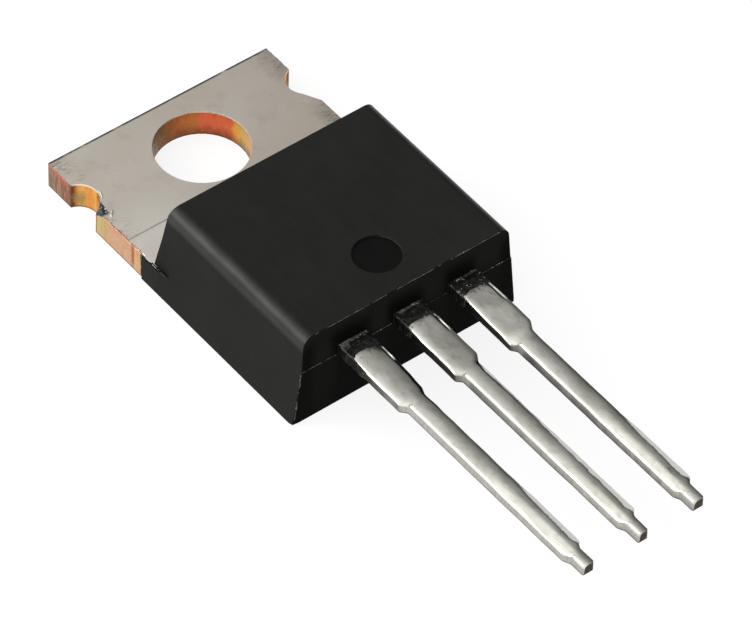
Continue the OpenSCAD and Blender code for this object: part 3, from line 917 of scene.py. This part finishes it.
# Rounds the edges that are sharper than 30 degrees and that the test picks by their middle
def roundEdges(work, picked, sizes):
    sharp = [e for e in work.edges if len(e.link_faces) == 2 and e.calc_face_angle(0) > math.radians(30)
             and picked((e.verts[0].co + e.verts[1].co) / (2 * mm))]
    bmesh.ops.bevel(work, geom=sharp, offset=sizes["bevel"] * mm, offset_type="OFFSET",
                    segments=sizes["segments"], profile=0.5, affect="EDGES", clamp_overlap=False)


# Puts points, edges and faces in the order of their places, so that each run writes the same mesh
def putInOrder(work):
    for parts, place in ((work.verts, lambda v: v.co[:]),
                         (work.edges, lambda e: sorted(v.index for v in e.verts)),
                         (work.faces, lambda f: sorted(v.index for v in f.verts))):
        for rank, part in enumerate(sorted(parts, key=place)):
            part.index = rank
        parts.sort()
        parts.index_update()


# Rows of three numbers from the vertices or faces of a mesh
def rowsOf(items, name):
    flat = np.empty(len(items) * 3)
    items.foreach_get(name, flat)
    return flat.reshape(-1, 3)


# The tab is the CAD solid with its edges rounded and its torn corners broken up by noise
def makeTab():
    work = mergedCopy("drain_tab")
    bmesh.ops.bisect_plane(work, geom=work.verts[:] + work.edges[:] + work.faces[:],
                           plane_co=(0, tab["cutBehind"] * mm, 0), plane_no=(0, -1, 0), clear_outer=True)
    bmesh.ops.holes_fill(work, edges=[e for e in work.edges if e.is_boundary])
    roundEdges(work, lambda p: p.y > tab["roundAfter"], tab)
    bmesh.ops.recalc_face_normals(work, faces=work.faces)
    middles = [(f, f.calc_center_median() / mm) for f in work.faces]
    torn = [f for f, middle in middles if inside(np.array((middle.x, middle.y, f.normal.z)), tab["torn"])]
    for face in torn:
        face.material_index = 2
    parts = bmesh.ops.triangulate(work, faces=torn)["faces"]
    edges = list({e for f in parts for e in f.edges if e.calc_length() > tab["tornStep"] * mm})
    bmesh.ops.subdivide_edges(work, edges=edges, cuts=5, use_grid_fill=True)
    putInOrder(work)
    mesh = settle(work, bpy.data.meshes.new("drain_tab_plated"))
    points = rowsOf(mesh.vertices, "co") / mm
    torn = inside(points, tab["tornSpace"])
    points[:, 2] -= torn * tab["tornDepth"] * np.abs(grit(points, 0.13, 21))
    points[:, 0] -= np.sign(points[:, 0]) * torn * tab["tornDepth"] * 0.6 * np.abs(grit(points, 0.11, 22))
    mesh.vertices.foreach_set("co", (points * mm).ravel())
    mesh.update()
    return mesh


# The sheared faces, which are steep and not in the groove, are bare copper
def paintTab(mesh):
    groove = inside(rowsOf(mesh.polygons, "center") / mm, tab["grooveSpace"])
    steep = (np.abs(rowsOf(mesh.polygons, "normal")[:, 2]) < tab["steep"]) & ~groove
    index = np.empty(len(mesh.polygons), np.int32)
    mesh.polygons.foreach_get("material_index", index)
    mesh.polygons.foreach_set("material_index", np.where(index == 2, 2, steep).astype(np.int32))


# Arc of the notch's rim between two angles in degrees
def notchRim(start, finish, count):
    turn = np.radians(np.linspace(start, finish, count))
    notchX, notchY = copper["notchPlace"]
    reach = copper["notchReach"]
    return grid(reach * np.cos(turn) - notchX, notchY + reach * np.sin(turn), 1.205)


tabBurr = {
    # start, end, points, thickness and seed of each ragged bead along the tab's top edges
    "copper": [((-5.165, 2.76, 1.205), (-5.165, 1.40, 1.205), 90, 0.030, 61),
               ((-5.160, -0.75, 1.205), (-5.160, -3.12, 1.205), 180, 0.042, 63),
               ((5.165, 2.76, 1.205), (5.165, 1.40, 1.205), 90, 0.022, 65)],
    "tin": [((-5.12, -2.30, 1.20), (-5.07, -3.30, 1.20), 90, 0.075, 67),
            ((-4.62, -0.62, 1.205), (-4.96, -0.92, 1.20), 24, 0.060, 71),
            ((4.72, -0.12, 1.20), (5.02, -0.62, 1.17), 24, 0.020, 73)],
    "sway": 0.01,
    "levels": {67: 0.4},  # by seed: a row of crumbs, of which only the peaks stand out
}

tabMesh = makeTab()
paintTab(tabMesh)
addPiece("drain_tab_plated", tabMesh, [finishes[k] for k in ("plating", "copper", "torn")],
         "drain_tab")
addPiece("drain_lead_tinned", leadMesh("drain"), tinned, "drain_tab")
for metal, finish in (("copper", "copper"), ("tin", "plating")):
    rings = [straightBead(*row, sway=tabBurr["sway"], level=tabBurr["levels"].get(row[-1], bead["level"]))
             for row in tabBurr[metal]]
    if metal == "tin":
        rings.append(beadRings(notchRim(8, -42, 40), 0.05, 69, size=0.3))
    name = "tab_" + metal + "_burr"
    addPiece(name, meshFromRings(name, *rings), [finishes[finish]], "drain_tab")
print("tab made")


body = {
    "bevel": 0.045,
    "segments": 3,
    "cornerCut": 0.2,  # rounding of the two bottom corners at the leads
    "smoothBelow": 35.0,  # degrees between faces
    "nearLeads": -12.3,  # only corners beyond this y are rounded
    "bottomCorner": (5.0, 0.01),  # least |x| and greatest z of the bottom corners
    "uprights": ((4.7, 1.3, 3.7), (4.9, -1, 2.8)),  # least |x|, and z range, of the upper and lower corners
    "front": -12.54,
    "sleeve": -12.6,  # the plain sleeves on the leads end here, under the rough flash
    "halfWidth": 5.23,
    "facing": -0.8,  # slope along y below which a face is the lead face
}


# The upright corners at the leads, below the rounded top edges
def isUpright(p):
    return p.y < body["nearLeads"] and any(abs(p.x) > least and low < p.z < high
                                           for least, low, high in body["uprights"])


# The moulding is the CAD solid with its upright corners rounded and its sleeves drawn back. Flat faces keep
# their own normals, and those that face the leads take the duller finish, whose darker colour is painted shade
def makeBody():
    work = mergedCopy("moulded_body")
    least, lowest = (value * mm for value in body["bottomCorner"])
    low = [v for v in work.verts if v.co.z < lowest and v.co.y < body["nearLeads"] * mm and abs(v.co.x) > least]
    bmesh.ops.bevel(work, geom=low, offset=body["cornerCut"] * mm, offset_type="OFFSET",
                    segments=body["segments"], profile=0.5, affect="VERTICES")
    roundEdges(work, isUpright, body)
    putInOrder(work)
    mesh = settle(work, bpy.data.meshes.new("moulded_body_epoxy"))
    points = rowsOf(mesh.vertices, "co") / mm
    points[:, 1] = np.maximum(points[:, 1], body["sleeve"])
    points[:, 0] = np.clip(points[:, 0], -body["halfWidth"], body["halfWidth"])
    points[:, 2] = np.maximum(points[:, 2], 0)
    mesh.vertices.foreach_set("co", (points * mm).ravel())
    mesh.polygons.foreach_set("use_smooth", np.ones(len(mesh.polygons), bool))
    mesh.set_sharp_from_angle(angle=math.radians(body["smoothBelow"]))
    # The faces toward the leads take the darker copy, as painted shade
    facing = rowsOf(mesh.polygons, "normal")[:, 1] < body["facing"]
    mesh.polygons.foreach_set("material_index", facing.astype(np.int32))
    return mesh


piece = addPiece("moulded_body_epoxy", makeBody(), [finishes["epoxy"], finishes["epoxyFrontShaded"]],
                 "moulded_body")
piece.modifiers.new("flat_faces", "WEIGHTED_NORMAL").keep_sharp = True
print("moulding made")


flash = {
    "from": -12.3,
    "end": -13.30,
    "sideEnds": {"gate": -14.2, "drain": -13.6, "source": -13.5},  # it runs further on the left side faces
    "thickness": 0.018,
    "lumps": 0.014,
    "crust": 0.012,  # further thickness on the left side faces
    "square": 0.22,  # power that makes a circle nearly square
    "noiseSpan": (0.66, 0.2),  # half-width and half-height of the section at which the noise is read
    "sink": 0.05,  # depth to which its end goes into the lead
    "rings": 90,
    "around": 150,
    "seeds": {"gate": 31, "drain": 33, "source": 37},
    "sway": 0.012,
    # start, end, points, thickness, seed and crust of the strings along the parting ledge, the top front edge,
    # the corners where the tab goes in and the left front corner
    "strings": [((-4.86, -12.495, 2.69), (-3.26, -12.5, 2.69), 90, 0.034, 41, 0.7),
                ((-1.88, -12.5, 2.69), (-0.70, -12.5, 2.69), 70, 0.040, 43, 0.7),
                ((0.70, -12.5, 2.69), (1.85, -12.5, 2.69), 70, 0.018, 45, 0.7),
                ((3.25, -12.5, 2.69), (4.86, -12.495, 2.69), 90, 0.026, 47, 0.7),
                ((-4.3, -12.4, 4.285), (4.4, -12.4, 4.285), 420, 0.034, 51, 1.2),
                ((-5.165, -3.11, 0.12), (-5.165, -3.09, 1.18), 60, 0.042, 57, -0.5),
                ((-5.165, -3.08, 1.20), (-5.16, -3.84, 1.20), 50, 0.036, 59, -0.5),
                ((-5.13, -3.70, 1.22), (-5.11, -4.62, 1.21), 70, 0.075, 60, -0.5),
                ((-5.14, -12.45, 0.22), (-4.89, -12.485, 2.6), 150, 0.045, 53, 0.7)],
}


# A sleeve of flash round the root of a lead: a nearly square section that stands proud of the lead by the
# thickness and the lumps, and sinks into the lead at a ragged end
def sleeveRings(name):
    shape, seed = leadShapes[name], flash["seeds"][name]
    u = np.linspace(0, 2 * math.pi, flash["around"], endpoint=False)[None, :]
    v = np.linspace(0, 1, flash["rings"])[:, None]
    across, upward = (np.sign(value) * np.abs(value) ** flash["square"] for value in (np.cos(u), np.sin(u)))
    spanX, spanZ = flash["noiseSpan"]
    leftSide = ease((-across - 0.93) / 0.06) * ease((0.9 - upward) / 0.3)
    around = grid(across * spanX, 0, upward * spanZ)
    reach = flash["end"] + (flash["sideEnds"][name] - flash["end"]) * leftSide
    reach = reach + 0.045 * grit(around + seed, 0.22, seed) + 0.03 * grit(around + seed, 0.07, seed + 1)
    y = flash["from"] + (reach - flash["from"]) * v
    spot = grid(across * spanX, y, upward * spanZ) + seed
    lumps = grit(spot, 0.14, seed + 2) + 0.5 * grit(spot, 0.06, seed + 3)
    crust = ease((-across - 0.8) / 0.15) * (1.0 if shape["side"] < 0 else 0.5)
    proud = flash["thickness"] + flash["lumps"] * lumps * (1 + 1.4 * crust) + flash["crust"] * crust
    proud = proud * (1 - ease((v - 0.8) / 0.2)) - flash["sink"] * ease((v - 0.93) / 0.07)
    halfAcross = (shape["left"][0][1] + shape["right"][0][1]) / 2
    halfUp = (lead["top"] - lead["underside"]) / 2
    centre = shape["side"] * lead["pitch"] + (shape["right"][0][1] - shape["left"][0][1]) / 2
    x = centre + (halfAcross + proud) * across
    z = lead["underside"] + halfUp + (halfUp + proud) * upward
    edge = ease((-across - 0.9) / 0.08) * (0.2 * (shape["side"] < 0) + 0.8 * ease((upward - 0.6) / 0.35))
    pale = edge + 0.7 * ease((-across - 0.1) / 0.5) * (upward > 0.9) * grit(spot, 0.2, seed + 4)
    pale = np.clip(pale + 0.6 * (upward > 0.9) * bell(y - body["front"], 0.1), 0, 1)
    # Painted shade on the left sides of the drain and source sleeves
    pale = pale - 0.5 * (shape["side"] >= 0) * leftSide * (upward < 0.8)
    return grid(x, y, z), pale


grids, crusts = [], []
for name in flash["seeds"]:
    rings, crust = sleeveRings(name)
    grids.append(rings)
    crusts.append(crust)
for *row, crust in flash["strings"]:
    grids.append(straightBead(*row, sway=flash["sway"]))
    crusts.append(np.full(grids[-1].shape[:2], crust))
addPiece("moulding_flash", meshFromRings("moulding_flash", *grids, stored="crust", values=crusts),
         [finishes["flash"]], "moulded_body")
print("flash made")

for node, finish in (("silicon_die", "silicon"), ("die_solder", "solder"), ("gate_wire", "wire"),
                     ("source_wire_1", "wire"), ("source_wire_2", "wire")):
    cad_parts[node].data.materials.clear()
    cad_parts[node].data.materials.append(finishes[finish])


studio = {
    "floor": (138, 138, 138),
    "glow": 0.83,
    "height": -0.01,
    "sky": [(-1.0, 1.15), (-0.2, 1.12), (-0.02, 0.98), (0.16, 0.71), (0.43, 0.38), (0.76, 0.165), (0.84, 0.07),
            (1.0, 0.04)],
    "lamp": ((-0.73, 0.53, 0.43), 300, 170, 0.29),  # direction it stands in, distance, size, watts
}


# The floor is pale where the camera and reflections see it, and keeps its shadow
def makeFloor():
    s = Surface("floor_white", {"colour": studio["floor"]})
    s.finish(0.9, None, {"Specular IOR Level": 0.0})
    rays = s.node("ShaderNodeLightPath").outputs
    seen = Wire(s, rays["Is Camera Ray"]).largest(Wire(s, rays["Is Glossy Ray"]))
    seen = seen.largest(Wire(s, rays["Is Transmission Ray"]))
    glow = s.wire("ShaderNodeEmission", {"Color": (255, 255, 255), "Strength": seen * studio["glow"]})
    s.fill(s.output, {0: s.wire("ShaderNodeAddShader", {0: Wire(s, s.shader.outputs[0]), 1: glow})})
    half, height = 1.0, studio["height"] * mm
    mesh = bpy.data.meshes.new("floor")
    mesh.from_pydata([(-half, -half, height), (half, -half, height), (half, half, height), (-half, half, height)],
                     [], [(0, 1, 2, 3)])
    mesh.materials.append(s.material)
    addObject("floor", mesh)


# A square soft box that faces the part
def makeLamp(direction, distance, size, watts):
    data = bpy.data.lights.new("key", "AREA")
    data.shape = "SQUARE"
    data.size = size * mm
    data.energy = watts
    away = unit(direction)
    side = unit(np.cross((0, 0, 1), away))
    addObject("key", data, (side, np.cross(away, side), away), away * distance + np.array(camera["target"]))


# The sky is bright at -X and falls off smoothly towards +X
def makeSky():
    world = bpy.data.worlds.new("studio")
    bpy.context.scene.world = world
    world.use_nodes = True
    graph = Graph(world.node_tree)
    across = graph.split(graph.wire("ShaderNodeTexCoord", output="Generated"))[0]
    brightest = max(level for position, level in studio["sky"])
    stops = [((position + 1) / 2, (*(level / brightest,) * 3, 1)) for position, level in studio["sky"]]
    colour = graph.ramp(across * 0.5 + 0.5, stops)
    background = graph.wire("ShaderNodeBackground", {"Color": colour, "Strength": brightest})
    graph.node("ShaderNodeOutputWorld", {0: background})


makeFloor()
makeLamp(*studio["lamp"])
makeSky()
bpy.context.scene.view_settings.view_transform = "Standard"
print("studio made")
